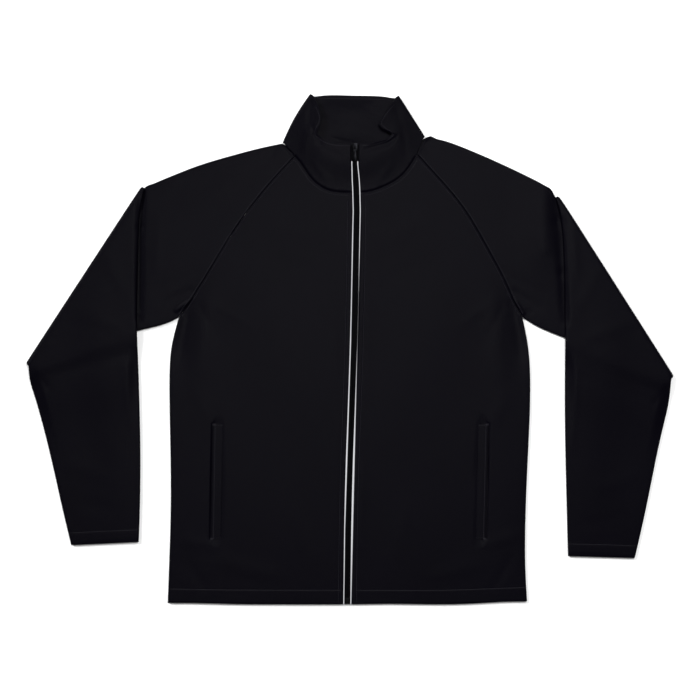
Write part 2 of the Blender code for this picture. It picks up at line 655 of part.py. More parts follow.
def pull(pin):
    """The pull tab, with its bar under the bail. Its origin is on the axis that it swings on."""
    half, end = PULL_WIDTH / 2, 0.62 - PULL_LENGTH
    outline = [(half, 0.62, 0), (-half, 0.62, 0), (-half, -6.5, 0), (-half + 0.5, -9, 0),
               (-half + 0.5, -14, 0), (-half, -17, 0), (-half, end + 1.6, 0), (-half + 1.2, end, 0),
               (half - 1.2, end, 0), (half, end + 1.6, 0), (half, -17, 0), (half - 0.5, -14, 0),
               (half - 0.5, -9, 0), (half, -6.5, 0)]
    tab = slab("zip_pull", outline, (0, 0, -PULL / 2), (0, 0, PULL), "metal")
    gap = BAIL_WIDTH / 2 + 0.5
    eye = [(gap, -0.62, 0), (-gap, -0.62, 0), (-gap, -5.4, 0), (gap, -5.4, 0)]
    hole = slab("pull_eye", eye, (0, 0, -PULL), (0, 0, 2 * PULL), "metal")
    combine(tab, hole, "DIFFERENCE")
    tab.location = pin * MM
    hole.location = pin * MM
    return tab


def zip_box():
    """The retainer at the foot of the zip, on the tapes' ends."""
    width, length, height = ZIP_BOX
    y, bottom = HEM_Y + 0.5, TAPE_TOP + SEAM
    foot = [(0, y, bottom), (0, y, bottom + height - 0.5), (0, y + 0.8, bottom + height),
            (0, y + length - 0.8, bottom + height), (0, y + length, bottom + height - 0.5),
            (0, y + length, bottom)]
    return slab("zip_box", foot, (zip_x(y) - width / 2, 0, 0), (width, 0, 0), "plastic")


def pocket_welt(side, panel):
    """A welt on the front panel, made from points on the panel moved out."""
    sign = SIDES[side]
    surface = BVHTree.FromObject(panel, bpy.context.evaluated_depsgraph_get())
    top, bottom = np.array(POCKETS[side], float)
    rows = np.linspace(0, 1, 11)
    grid = []
    for share in rows:
        x, y = bottom + (top - bottom) * share
        row = []
        for across in (0, 0.5, 1):
            at_x = x - sign * WELT_WIDTH * across
            hit = surface.ray_cast(Vector((at_x, y, 100)) * MM, Vector((0, 0, -1)))[0]
            row.append((at_x, y, hit.z / MM + WELT_GAP + WELT))
        grid.append(row)
    grid = np.array(grid)
    return sheet(f"pocket_welt_{side}", grid if sign < 0 else grid[:, ::-1], WELT)


# ---------------------------------------------------------------- the whole jacket
def centre_on_floor():
    """Moves everything so that the bottom centre of its box is the origin."""
    graph = bpy.context.evaluated_depsgraph_get()
    low, high = np.full(3, np.inf), np.full(3, -np.inf)
    for piece in bpy.data.objects:
        if piece.hide_render:
            continue
        seen = piece.evaluated_get(graph)
        corners = np.array([piece.matrix_world @ Vector(corner) for corner in seen.bound_box])
        low, high = np.minimum(low, corners.min(0)), np.maximum(high, corners.max(0))
    middle = Vector(((low[0] + high[0]) / 2, (low[1] + high[1]) / 2, low[2]))
    for piece in bpy.data.objects:
        piece.location -= middle
    return middle, high - low


def main():
    for piece in list(bpy.data.objects):
        bpy.data.objects.remove(piece, do_unlink=True)
    back_panel()
    for side in SIDES:
        panel = front_panel(side)
        bpy.context.view_layer.update()
        pocket_welt(side, panel)
        sleeve(side)
        zip_tape(side)
        piping(side)
    collar()
    body, pin = slider()
    pull(pin)
    zip_box()
    bpy.context.view_layer.update()
    middle, size = centre_on_floor()
    bpy.context.view_layer.update()
    print("moved by", [round(-value, 6) for value in middle], "size", [round(value, 5) for value in size])
    print("pull axis at", [round(value, 6) for value in (pin * MM - middle)])


main()
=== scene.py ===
# %% [markdown]
# # A zip-front windbreaker, laid flat
# The jacket lies on a pale table with its front up. Its solids come from the frame: two front panels, a
# back, two raglan sleeves that are each folded once, and a stand-up collar with its facing, a zip with
# silver piping, and two side pockets. This lesson dresses those solids. Each panel becomes a fine
# surface with seams and soft creases pressed into it, and then come the stitches, the zip's coil, its
# slider and pull, the materials, and the light of a studio table.

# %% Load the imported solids
import json
import math

import bmesh
import bpy
import numpy as np
from mathutils import Matrix, Vector
from mathutils.bvhtree import BVHTree


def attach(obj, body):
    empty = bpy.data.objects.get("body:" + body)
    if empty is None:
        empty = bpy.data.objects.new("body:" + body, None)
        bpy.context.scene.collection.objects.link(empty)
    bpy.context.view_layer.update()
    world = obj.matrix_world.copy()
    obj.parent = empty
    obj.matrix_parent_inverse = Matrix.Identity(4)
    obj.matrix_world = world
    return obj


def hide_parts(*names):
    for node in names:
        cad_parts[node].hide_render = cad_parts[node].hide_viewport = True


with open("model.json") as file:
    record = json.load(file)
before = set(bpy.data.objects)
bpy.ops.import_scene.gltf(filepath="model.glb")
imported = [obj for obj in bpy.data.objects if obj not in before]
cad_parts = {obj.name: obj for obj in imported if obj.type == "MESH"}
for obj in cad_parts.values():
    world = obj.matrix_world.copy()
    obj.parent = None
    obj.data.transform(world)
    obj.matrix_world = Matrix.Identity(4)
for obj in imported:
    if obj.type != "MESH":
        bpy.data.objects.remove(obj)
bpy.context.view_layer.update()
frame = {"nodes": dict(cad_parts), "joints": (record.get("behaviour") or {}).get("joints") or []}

MM = 0.001
nodes = frame["nodes"]
SIGN = {"right": -1, "left": 1}  # the wearer's sides: the right half lies at -X
print("solids:", ", ".join(sorted(nodes)))

# %% [markdown]
# ## Lines that the whole jacket shares
# A seam is a line on the table's plan. The same line presses the seam's groove, guides its stitches and
# says where the mesh has to be fine, so each one is written once, in millimetres from the middle of the
# photograph. The frame's own middle is a little off that point. The pull tab tells by how much, because
# it hangs from the zip at a known height.

# %% The zip's centre line: (x, y)
ZIP_LINE = [
    (-4.2, -396), (-3.0, -290), (-0.9, -190), (3.0, -90), (6.2, 0),
    (8.2, 80), (9.6, 160), (10.6, 220), (9.8, 250), (7.5, 290), (7.4, 330),
]
HEM_Y, COLLAR_SEAM_Y, PULL_Y = -396, 246.3, 317


def zip_x(y):
    """Where the zip's centre line is at a height y."""
    return float(np.interp(y, [point[1] for point in ZIP_LINE], [point[0] for point in ZIP_LINE]))


pull_axis = Vector(frame["joints"][0]["pos_m"]) / MM
MIDDLE = Vector((pull_axis.x - zip_x(PULL_Y), pull_axis.y - PULL_Y, 0))
print("middle of the photograph, in the frame:", [round(value, 3) for value in MIDDLE])

# %% Seams, sewn hems and pocket mouths: (x, y)
RAGLAN = {
    "right": [(-267, 50), (-246, 80), (-225, 112), (-180, 188), (-155, 222), (-124, 261), (-85, 302)],
    "left": [(269, 50), (255, 76), (235, 122), (207, 170), (178, 222), (141, 264), (104, 305)],
}
RAGLAN_BACK = {
    "right": [(-267, 50), (-238, 96), (-190, 172), (-130, 256), (-80, 311)],
    "left": [(269, 50), (244, 96), (198, 172), (142, 256), (92, 316)],
}
NECK = {
    "right": [(3, 246.3), (-14, 246.5), (-33, 249), (-51, 259), (-62, 270), (-74, 289), (-85, 302)],
    "left": [(17, 246.3), (29, 247.0), (48, 253), (65, 261), (79, 270), (91, 284), (104, 305)],
}
NECK_BACK = [(-80, 311), (-42, 302), (6, 299), (54, 303), (92, 316)]
SHOULDER = {"right": [(-85, 302), (-95, 312), (-106, 322)], "left": [(104, 305), (111, 318), (118, 331)]}
HEM = {"right": [(-280, -372), (-190, -373.5), (-14, -374)], "left": [(9, -374), (150, -374), (273, -369.5)]}
CUFF = {"right": [(-327, -280), (-380, -282), (-438, -285)],
        "left": [(339.5, -302), (390, -303), (447, -305)]}
POCKET = {"right": [(-213, -116), (-216, -294)], "left": [(215, -116), (211, -294)]}
COLLAR_EDGE = {
    "right": [(3, 321), (-22, 321.5), (-34, 324.5), (-44, 330), (-48, 338), (-45, 358), (-51.5, 381)],
    "left": [(17, 321), (30, 321.5), (43, 324.5), (54, 329), (59, 335.5), (53, 355), (56.5, 370), (66, 383)],
}


def along(points, step):
    """Points and directions every step millimetres along a smooth line through a table's points."""
    points = np.array(points, float)
    knots = np.concatenate([[0], np.cumsum(np.linalg.norm(np.diff(points, axis=0), axis=1))])
    slopes = np.gradient(points, knots, axis=0)
    at = np.arange(step / 2, knots[-1], step)
    span = np.clip(np.searchsorted(knots, at) - 1, 0, len(points) - 2)
    width = (knots[span + 1] - knots[span])[:, None]
    t = (at - knots[span])[:, None] / width
    found = ((2 * t**3 - 3 * t**2 + 1) * points[span] + (t**3 - 2 * t**2 + t) * width * slopes[span]
             + (3 * t**2 - 2 * t**3) * points[span + 1] + (t**3 - t**2) * width * slopes[span + 1])
    ways = np.gradient(found, axis=0)
    return found, ways / np.linalg.norm(ways, axis=1, keepdims=True)


def beside(points, distance, step=4.0):
    """A line that runs beside a line, to the left of its direction when distance is positive."""
    found, ways = along(points, step)
    return found + distance * np.stack([-ways[:, 1], ways[:, 0]], -1)


def zip_row(side, offset, low, high, step=24.0):
    """A line beside the zip, from low to high."""
    return [(zip_x(y) + SIGN[side] * offset, y) for y in np.arange(low, high + 1, step)]


print("raglan seam", round(len(along(RAGLAN["left"], 1)[0])), "mm long")

# %% [markdown]
# ## Camera, table and light
# The photograph looks straight down, so the camera does too, and a long lens from three metres keeps
# the edges of the cloth parallel. The table is plain white. Black cloth shows itself by its faint gloss,
# so the main lamp is a large one overhead, a little beyond the collar: flat cloth mirrors it, slopes turn
# it away and look darker, and the gloss fades from the chest to the hem. A low sun from the wearer's
# right shoulder adds the short shadows on the table.

# %% Camera
PHOTO_WIDTH = 1.092  # metres of table across the picture
CAMERA_HEIGHT = 3.0
camera_data = bpy.data.cameras.new("camera")
camera_data.sensor_width = 36
camera_data.lens = camera_data.sensor_width * CAMERA_HEIGHT / PHOTO_WIDTH
camera = bpy.data.objects.new("camera", camera_data)
camera.location = (MIDDLE.x * MM, MIDDLE.y * MM, CAMERA_HEIGHT)
bpy.context.collection.objects.link(camera)
bpy.context.scene.camera = camera
print("lens", round(camera_data.lens, 1), "mm")


# %% Table and lamps
def principled(name, colour, roughness, metallic=0.0, specular=0.5):
    """A Principled material whose even values sit on the shader's own sockets."""
    made = bpy.data.materials.new(name)
    made.use_nodes = True
    shader = made.node_tree.nodes["Principled BSDF"]
    shader.inputs["Base Color"].default_value = (*colour, 1)
    shader.inputs["Roughness"].default_value = roughness
    shader.inputs["Metallic"].default_value = metallic
    shader.inputs["Specular IOR Level"].default_value = specular
    return made, shader


def link_object(name, data):
    made = bpy.data.objects.new(name, data)
    bpy.context.collection.objects.link(made)
    return made


def soft_lamp(name, size, energy, place, target):
    """A square lamp that looks at a target."""
    data = bpy.data.lights.new(name, "AREA")
    data.shape, data.size, data.energy = "SQUARE", size, energy
    lamp = link_object(name, data)
    lamp.location = place
    lamp.rotation_euler = (Vector(target) - Vector(place)).to_track_quat("-Z", "Y").to_euler()
    return lamp


TABLE_SIZE, TABLE_DROP = 6, 0.0006  # the table lies just under the cloth, clear of its stitches
table_shape = bmesh.new()
bmesh.ops.create_grid(table_shape, x_segments=1, y_segments=1, size=TABLE_SIZE)
bmesh.ops.translate(table_shape, verts=table_shape.verts, vec=(0, 0, -TABLE_DROP))
table_mesh = bpy.data.meshes.new("table")
table_shape.to_mesh(table_mesh)
table_shape.free()
table = link_object("table", table_mesh)
table_mesh.materials.append(principled("table_white", (0.9, 0.9, 0.9), 0.9)[0])
soft_lamp("overhead_lamp", size=1.3, energy=122, place=(0.65, 1.15, 3.5), target=(0, 0.1, 0))
sun_data = bpy.data.lights.new("low_sun", "SUN")
sun_data.energy, sun_data.angle = 2.9, math.radians(16)
low_sun = link_object("low_sun", sun_data)
low_sun.rotation_euler = Vector((0.8, -0.62, -0.80)).to_track_quat("-Z", "Y").to_euler()
room = bpy.data.worlds.new("soft_room")
room.use_nodes = True
room.node_tree.nodes["Background"].inputs["Color"].default_value = (1, 1, 1, 1)
room.node_tree.nodes["Background"].inputs["Strength"].default_value = 0.26
bpy.context.scene.world = room
bpy.context.scene.view_settings.view_transform = "Standard"
print("table, overhead lamp, low sun and the room's light")

# %% [markdown]
# ## Cloth, thread, piping and zip finishes
# The cloth is a bonded knit: near black with a hint of violet, a fine diagonal rib and almost no gloss.
# A wave texture gives the rib, and two noises break it up, one as small as the yarn and one as large
# as a hand, which is how dyed cloth varies. They read Object coordinates, so the grain stays on the
# cloth. Gloss is even, so it is a plain value on the shader.


# %% A knitted or woven cloth
def cloth_material(name, colour, roughness, rib, relief, specular, spread=0.10):
    """Cloth with a diagonal rib. rib is the distance between two ribs along X, in metres.

    relief is how strongly rib and yarn bend the light, and spread is how far the colour varies.
    """
    made, shader = principled(name, colour, roughness, specular=specular)
    tree = made.node_tree
    place = tree.nodes.new("ShaderNodeTexCoord")

    def pattern(kind, scale, **settings):
        node = tree.nodes.new(kind)
        tree.links.new(place.outputs["Object"], node.inputs["Vector"])
        node.inputs["Scale"].default_value = scale
        for key, value in settings.items():
            node.inputs[key].default_value = value
        return node.outputs["Fac"]

    def sum_of(first, share, second):
        node = tree.nodes.new("ShaderNodeMath")
        node.operation = "MULTIPLY_ADD"
        node.inputs[1].default_value = share
        tree.links.new(first, node.inputs[0])
        tree.links.new(second, node.inputs[2])
        return node.outputs[0]

    ribs = pattern("ShaderNodeTexWave", math.pi / 5 / rib, Distortion=0.6, Detail=1.0)
    ribs.node.bands_direction = "DIAGONAL"
    yarn = pattern("ShaderNodeTexNoise", 0.5 / rib, Detail=3.0, Roughness=0.6)
    patches = pattern("ShaderNodeTexNoise", 11.0, Detail=3.0, Roughness=0.55)
    bump = tree.nodes.new("ShaderNodeBump")
    bump.inputs["Strength"].default_value = relief
    bump.inputs["Distance"].default_value = rib * 0.5
    tree.links.new(sum_of(yarn, 0.8, ribs), bump.inputs["Height"])
    tree.links.new(bump.outputs["Normal"], shader.inputs["Normal"])
    tint = tree.nodes.new("ShaderNodeMix")
    tint.data_type = "RGBA"
    tint.inputs["A"].default_value = (*[value * (1 - 2 * spread) for value in colour], 1)
    tint.inputs["B"].default_value = (*[value * (1 + 2 * spread) for value in colour], 1)
    tree.links.new(sum_of(ribs, 0.3, sum_of(yarn, 0.3, patches)), tint.inputs["Factor"])
    tree.links.new(tint.outputs["Result"], shader.inputs["Base Color"])
    return made


SHELL = cloth_material("shell_cloth", (0.0009, 0.0007, 0.0019),
                       roughness=0.42, rib=0.0007, relief=0.20, specular=0.027)
# The facing is the shell's cloth painted a little lighter: painted light that offsets the shade falling
# inside the collar.
LIGHTENED_FACING_CLOTH = cloth_material("facing_cloth", (0.0010, 0.0008, 0.0020),
                        roughness=0.43, rib=0.0009, relief=0.22, specular=0.028)
TAPE = cloth_material("zip_tape_weave", (0.0012, 0.0011, 0.0016),
                      roughness=0.6, rib=0.0006, relief=0.4, specular=0.02)
THREAD = cloth_material("thread", (0.0150, 0.0140, 0.0190),
                        roughness=0.45, rib=0.0003, relief=0.3, specular=0.15)
SILVER = cloth_material("silver_piping", (0.42, 0.42, 0.44),
                        roughness=0.45, rib=0.0004, relief=0.4, specular=0.4, spread=0.05)
print("cloths:", SHELL.name, LIGHTENED_FACING_CLOTH.name, TAPE.name, THREAD.name, SILVER.name)


# %% Metal and nylon of the zip
def worn_material(name, colour, roughness, metallic, grain, specular=0.5):
    """A hard finish whose gloss varies a little, as handling leaves it."""
    made, shader = principled(name, colour, roughness, metallic, specular)
    tree = made.node_tree
    place = tree.nodes.new("ShaderNodeTexCoord")
    noise = tree.nodes.new("ShaderNodeTexNoise")
    noise.inputs["Scale"].default_value = 1 / grain
    noise.inputs["Detail"].default_value = 4.0
    tree.links.new(place.outputs["Object"], noise.inputs["Vector"])
    gloss = tree.nodes.new("ShaderNodeMapRange")
    gloss.inputs["To Min"].default_value = roughness - 0.10
    gloss.inputs["To Max"].default_value = roughness + 0.12
    tree.links.new(noise.outputs["Fac"], gloss.inputs["Value"])
    tree.links.new(gloss.outputs["Result"], shader.inputs["Roughness"])
    bump = tree.nodes.new("ShaderNodeBump")
    bump.inputs["Strength"].default_value = 0.12
    bump.inputs["Distance"].default_value = grain * 0.1
    tree.links.new(noise.outputs["Fac"], bump.inputs["Height"])
    tree.links.new(bump.outputs["Normal"], shader.inputs["Normal"])
    return made


METAL = worn_material("dark_zip_metal", (0.0034, 0.0034, 0.0040), roughness=0.32, metallic=1.0, grain=0.0011)
NYLON = worn_material("zip_plastic", (0.002, 0.002, 0.0024), roughness=0.45, metallic=0.0, grain=0.0014,
                      specular=0.02)
print("hard finishes:", METAL.name, NYLON.name)

# %% [markdown]
# ## From solid to cloth
# Each solid is coarse: rows of quads that the packing cut into triangles. Merging its points and
# joining its triangles brings the quads back, and a Subdivision Surface rounds the folds. Cut edges are
# creased first, so hems and seams stay crisp. The fine mesh is then split once more where it shows and
# twice more along the seams, which is much lighter than a fine mesh everywhere. The collar is small, so
# it gets a third level instead.


# %% A smooth copy of a solid
def smooth_copy(node, name, levels, cut_edge=0.85, cut_angle=50):
    """A copy of a node in quads, with crisp cut edges and this many levels of subdivision."""
    shape = bmesh.new()
    shape.from_mesh(nodes[node].data)
    bmesh.ops.remove_doubles(shape, verts=shape.verts, dist=2e-6)
    bmesh.ops.join_triangles(
        shape, faces=shape.faces, cmp_seam=False, cmp_sharp=False, cmp_uvs=False, cmp_vcols=False,
        cmp_materials=False, angle_face_threshold=math.radians(25), angle_shape_threshold=math.radians(100))
    crisp = shape.edges.layers.float.new("crease_edge")
    for edge in shape.edges:
        if edge.is_manifold and edge.calc_face_angle() > math.radians(cut_angle):
            edge[crisp] = cut_edge
    coarse = bpy.data.meshes.new(name + "_coarse")
    shape.to_mesh(coarse)
    shape.free()
    piece = link_object(name, coarse)
    rounding = piece.modifiers.new("rounding", "SUBSURF")
    rounding.levels = rounding.render_levels = levels
    fine = bpy.data.meshes.new_from_object(piece.evaluated_get(bpy.context.evaluated_depsgraph_get()))
    piece.modifiers.clear()
    piece.data = fine
    fine.name = name
    bpy.data.meshes.remove(coarse)
    fine.materials.clear()
    return piece


def nearest_on(line, plan):
    """Distance from plan points to a line, and how far along it the nearest point is."""
    line = np.asarray(line, float)
    best, where, walked = np.full(len(plan), 1e9), np.zeros(len(plan)), 0.0
    for start, end in zip(line[:-1], line[1:]):
        run = end - start
        length = np.linalg.norm(run)
        share = np.clip((plan - start) @ run / (length * length), 0, 1)
        away = np.linalg.norm(plan - start - share[:, None] * run, axis=1)
        nearer = away < best
        best[nearer], where[nearer] = away[nearer], walked + share[nearer] * length
        walked += length
    return best, where


def split_faces(piece, chosen):
    """Splits the faces that chosen picks, given their centres in millimetres and their normals."""
    shape = bmesh.new()
    shape.from_mesh(piece.data)
    centres = np.array([face.calc_center_median() for face in shape.faces]) / MM
    normals = np.array([face.normal for face in shape.faces])
    picked = chosen(centres, normals)
    edges = {edge for face, wanted in zip(shape.faces, picked) if wanted for edge in face.edges}
    bmesh.ops.subdivide_edges(shape, edges=list(edges), cuts=1, use_grid_fill=True)
    shape.to_mesh(piece.data)
    shape.free()


def refine(piece, lines, side=1, over_all=True):
    """Splits the side that shows once, and then twice more close to the lines."""
    facing = lambda normals: side * normals[:, 2] > 0.25
    if over_all:
        split_faces(piece, lambda centres, normals: facing(normals) & (side * (centres[:, 2] - 3.2) > 0))
    for reach in (8.5, 4.5):
        def close(centres, normals):
            plan = centres[:, :2] - np.array(MIDDLE)[:2]
            away = np.min([nearest_on(line, plan)[0] for line in lines], axis=0)
            return facing(normals) & (away < reach)
        split_faces(piece, close)
    print(piece.name, len(piece.data.polygons), "faces")


print("helpers for fine cloth")

# %% [markdown]
# ## Pressing seams and creases
# Pressing moves points straight up or down. A crease moves the whole wall of cloth, so its height is
# scaled by how near the point is to the top layer, which a ray from above finds. A seam's groove or a
# stitch line only sinks the outer face of that wall. The order keeps the cloth's thickness everywhere:
# the deeper a point lies inside the wall, the less a groove moves it.

# %% How deep each point lies below the outer face
WALL = 1.5
WALL_END = 0.4, 1.0  # below the wall, where a crease starts to fade and where it has gone
LAYER_FADE, SKIN_FADE = (3.4, 4.6), (2.2, 3.4)  # heights over which the upper layer starts to move
UNDER_DEPTH, UNDER_HEIGHTS = 4, (4.2, 6.2)  # the sleeve's upper layer below a forearm


def mesh_points(piece):
    """The points of a piece's mesh, in millimetres."""
    points = np.empty(len(piece.data.vertices) * 3)
    piece.data.vertices.foreach_get("co", points)
    return points.reshape(-1, 3) / MM


def put_points(piece, points):
    piece.data.vertices.foreach_set("co", (points * MM).ravel())
    piece.data.update()


def height_tree(piece):
    return BVHTree.FromObject(piece, bpy.context.evaluated_depsgraph_get())


def depths(piece, points, side):
    """How far each point lies behind the first surface that a ray from this side meets."""
    tree, ray = height_tree(piece), Vector((0, 0, -side))
    found = np.zeros(len(points))
    for index, (x, y, z) in enumerate(points * MM):
        hit = tree.ray_cast(Vector((x + 1e-5, y + 1e-5, side * 0.1)), ray)[0]
        if hit is not None:
            found[index] = max(side * (hit.z - z), 0)
    return found / MM


def soft_step(values, start, end):
    """Rises smoothly from 0 at start to 1 at end."""
    t = np.clip((values - start) / (end - start), 0, 1)
    return t * t * (3 - 2 * t)


def press(piece, creases=(), grooves=(), bands=(), hollows=(), side=1, wall=WALL):
    """Presses creases, seam grooves, doubled bands and hollows under an overlap into one side.

    crease and hollow: (x0, y0, x1, y1, half width at each end, height)
    groove: (line, half width, depth, pucker), band: (line, reach, height)
    """
    points = mesh_points(piece)
    plan = points[:, :2] - np.array(MIDDLE)[:2]
    depth = depths(piece, points, side)
    layer = 1 - soft_step(depth, wall + WALL_END[0], wall + WALL_END[1])
    skin = np.clip(1 - depth / wall, 0, 1)
    if side > 0:
        layer *= soft_step(points[:, 2], *LAYER_FADE)
        skin *= soft_step(points[:, 2], *SKIN_FADE)
    under = (depth > UNDER_DEPTH) & (points[:, 2] > UNDER_HEIGHTS[0]) & (points[:, 2] < UNDER_HEIGHTS[1])
    move = np.zeros(len(points))
    for rows, weight in ((creases, layer), (hollows, np.maximum(layer, under))):
        for x0, y0, x1, y1, width0, width1, height in rows:
            away, where = nearest_on([(x0, y0), (x1, y1)], plan)
            share = where / math.hypot(x1 - x0, y1 - y0)
            width = width0 + (width1 - width0) * share
            fade = 0.3 + 0.7 * np.sin(math.pi * (0.15 + 0.7 * share))
            move += weight * height * fade * np.exp(-((away / width) ** 2))
    for line, width, depth_there, pucker in grooves:
        away, where = nearest_on(line, plan)
        move -= skin * depth_there * np.exp(-((away / width) ** 2))
        ripple = np.sin(where * 0.55 + 1.9 * np.sin(where * 0.071)) + 0.6 * np.sin(where * 0.31 + 2)
        move += skin * pucker * ripple * np.exp(-((away / (width * 2.6)) ** 2))
    for line, reach, height in bands:
        away = nearest_on(line, plan)[0]
        move += skin * height * (1 - soft_step(away, reach - 0.6, reach + 0.6))
    points[:, 2] += side * move
    put_points(piece, points)


print("helpers for pressing")

# %% [markdown]
# ## Creases, placed one by one
# The cloth is springy, so it shows few creases, and all of them are soft. The armpits sink where the
# sleeve pulls on the body. The chest and sleeves carry long shallow ripples, uneven in length and
# spacing. Beside each folded forearm the sleeve below dips into its shadow, far more on the wearer's
# left. The underside only gets troughs, because everything else there rests on the table.

# %% Creases of each piece: (x0, y0, x1, y1, half width at each end, height)
CREASES = {
    "front_right": [
        (-254, 70, -266, 0, 9, 9, -1.3), (-222, 58, -232, -30, 14, 16, 1.1),
        (-236, 70, -206, 20, 6, 9, -0.45), (-222, 78, -160, 40, 7, 9, 0.4),
        (-120, 196, -40, 168, 14, 10, 0.45), (-140, 150, -60, 122, 12, 9, -0.35),
        (-60, 232, -26, 150, 9, 8, 0.3),
        (-236, -60, -222, -108, 12, 9, 0.35), (-200, -330, -120, -350, 13, 10, 0.4),
        (-90, -250, -60, -330, 12, 10, 0.35), (-24, 120, -20, -60, 6, 6, 0.3),
        (-22, -120, -24, -300, 6, 6, 0.3),
        (-262, -296, -214, -304, 9, 7, 0.5), (-252, -330, -226, -372, 8, 8, -0.4),
    ],
    "front_left": [
        (256, 70, 268, -4, 9, 9, -1.3), (224, 58, 234, -34, 14, 16, 1.1),
        (238, 68, 210, 12, 6, 9, -0.45), (226, 80, 168, 36, 7, 9, 0.4),
        (124, 200, 50, 172, 14, 10, 0.45), (150, 150, 70, 118, 12, 9, -0.35), (66, 230, 36, 152, 9, 8, 0.3),
        (240, -70, 224, -110, 12, 9, 0.35), (200, -334, 130, -352, 13, 10, 0.4),
        (92, -240, 66, -330, 12, 10, 0.35), (32, 110, 26, -70, 6, 6, 0.3), (22, -130, 18, -310, 6, 6, 0.3),
        (258, -290, 212, -302, 9, 7, 0.5), (250, -326, 224, -370, 8, 8, -0.4),
    ],
    "sleeve_right": [
        (-245, 80, -270, 62, 4.0, 3.6, 2.2), (-250, 94, -290, 74, 5, 6, -0.8),
        (-236, 122, -300, 92, 8, 8, -0.5),
        (-150, 290, -220, 240, 12, 10, 0.45), (-180, 232, -250, 180, 11, 9, -0.4),
        (-296, 216, -302, 120, 7, 6, 0.4),
        (-92, 300, -122, 272, 7, 5, -0.7), (-114, 318, -124, 300, 6, 6, -0.5),
        (-420, 60, -360, 36, 13, 10, 0.5),
        (-380, 150, -350, 90, 12, 9, 0.4), (-430, -180, -380, -196, 11, 8, 0.45),
        (-414, -240, -362, -252, 8, 7, -0.3),
        (-492, -34, -470, -60, 6, 6, -0.5), (-350, -20, -342, -120, 7, 6, 0.35),
    ],
    "sleeve_left": [
        (255, 78, 269, 58, 4.0, 3.6, 2.2), (258, 92, 294, 66, 5, 6, -0.8), (240, 122, 300, 88, 8, 8, -0.5),
        (276, 62, 282, 58, 3, 3, -0.6), (152, 296, 222, 244, 12, 10, 0.45),
        (186, 236, 252, 184, 11, 9, -0.4),
        (288, 244, 298, 160, 30, 26, 2.2), (300, 246, 306, 160, 11, 9, 1.4),
        (118, 318, 130, 298, 7, 6, -0.8), (119, 328, 131, 333, 3, 2.6, 1.4),
        (430, 40, 372, 20, 13, 10, 0.5),
        (392, 130, 358, 70, 12, 9, 0.4), (436, -200, 386, -214, 11, 8, 0.45),
        (420, -262, 366, -272, 8, 7, -0.3),
        (348, 190, 352, 120, 7, 6, 0.5), (494, -56, 474, -84, 6, 6, -0.5),
        (350, -40, 346, -150, 7, 6, 0.35),
    ],
    "collar": [
        (-60, 383, -64, 350, 5, 6, -1.1), (-57, 345, -46, 321, 4, 4, -0.9), (-72, 300, -66, 350, 6, 6, 0.4),
        (-30, 256, -54, 290, 7, 6, 0.4), (-14, 302, -38, 312, 5, 5, -0.4),
        (26, 312, 57, 321, 5, 4.5, -1.2), (57, 321, 70, 332, 4.5, 4, -1.0),
        (30, 319.5, 60, 329, 2.2, 2.4, 0.6),
        (70, 378, 78, 360, 5, 5, -0.6), (40, 258, 62, 286, 7, 6, 0.4), (88, 306, 80, 350, 6, 6, -0.4),
    ],
    "collar_facing": [(-32, 372, 26, 374, 7, 7, -0.25)],
}
HOLLOWS = {
    "sleeve_right": [(-325, 256, -328, 190, 6, 5.5, -2.6), (-328, 190, -329, 48, 5.5, 4.5, -2.7)],
    "sleeve_left": [(323, 262, 327, 200, 12, 10, -2.8), (327, 200, 331, 120, 9, 7, -2.8),
                    (331, 120, 336, 44, 6.5, 5, -2.8)],
}
UNDERSIDE = {
    "back": [(-200, -100, -60, -260, 22, 16, -0.7), (190, -40, 70, -230, 22, 16, -0.7),
             (-120, 150, 90, 130, 18, 14, -0.5), (-240, 40, -190, -60, 12, 10, -0.6),
             (240, 44, 196, -50, 12, 10, -0.6), (-60, -330, 130, -344, 14, 12, -0.5)],
    "sleeve_right": [(-250, 90, -330, 60, 12, 9, -0.6), (-170, 260, -270, 190, 14, 10, -0.6),
                     (-400, -120, -370, -230, 12, 10, -0.5), (-420, -60, -350, -70, 9, 8, -0.6)],
    "sleeve_left": [(252, 84, 334, 46, 12, 9, -0.6), (176, 264, 280, 180, 14, 10, -0.6),
                    (410, -140, 378, -250, 12, 10, -0.5), (430, -84, 356, -92, 9, 8, -0.6)],
    "collar": [(-60, 330, 50, 336, 12, 10, -0.5), (-30, 372, 44, 366, 10, 8, -0.4)],
}
print("creases:", sum(len(rows) for table in (CREASES, HOLLOWS, UNDERSIDE) for rows in table.values()))

# %% [markdown]
# ## The collar's buckle
# The collar stands up by itself, and its edge rolls outwards. On the wearer's left it has buckled: the
# edge zigzags towards the neck and out again. Sliding the points sideways by a table of shifts along Y
# draws that line. Only the high part of the collar moves, so the seam and the back stay put.

# %% Sideways shifts: (y, shift), with the x of the edge and how fast the shift fades beside it
EDGE_SHIFTS = {
    "right": (-48, 13, [(328, 0), (331, -1), (334.5, -4.5), (338, -3.3), (346, -1.3), (354, 1), (362, 1.8),
                        (379, 1.2), (388, 0)]),
    "left": (56, 13, [(322, 0), (329, 4), (335.5, 8), (339, 1.5), (343, -6), (351, -9), (360, -4.5),
                      (370, -1.5), (382, 0)]),
}


def edge_shift(plan):
    """How far the collar's edge slides sideways at these plan points."""
    shift = np.zeros(len(plan))
    for edge_x, fade, table in EDGE_SHIFTS.values():
        there = np.interp(plan[:, 1], [row[0] for row in table], [row[1] for row in table])
        shift += there * np.exp(-(((plan[:, 0] - edge_x) / fade) ** 2))
    return shift


def shift_edge(piece):
    """Slides the collar's edge sideways, and leaves the seam where it is."""
    points = mesh_points(piece)
    high = soft_step(points[:, 2], 6.0, 10.5)
    points[:, 0] += edge_shift(points[:, :2] - np.array(MIDDLE)[:2]) * high
    put_points(piece, points)


print("the left edge swings out 8 mm and back 9 mm")

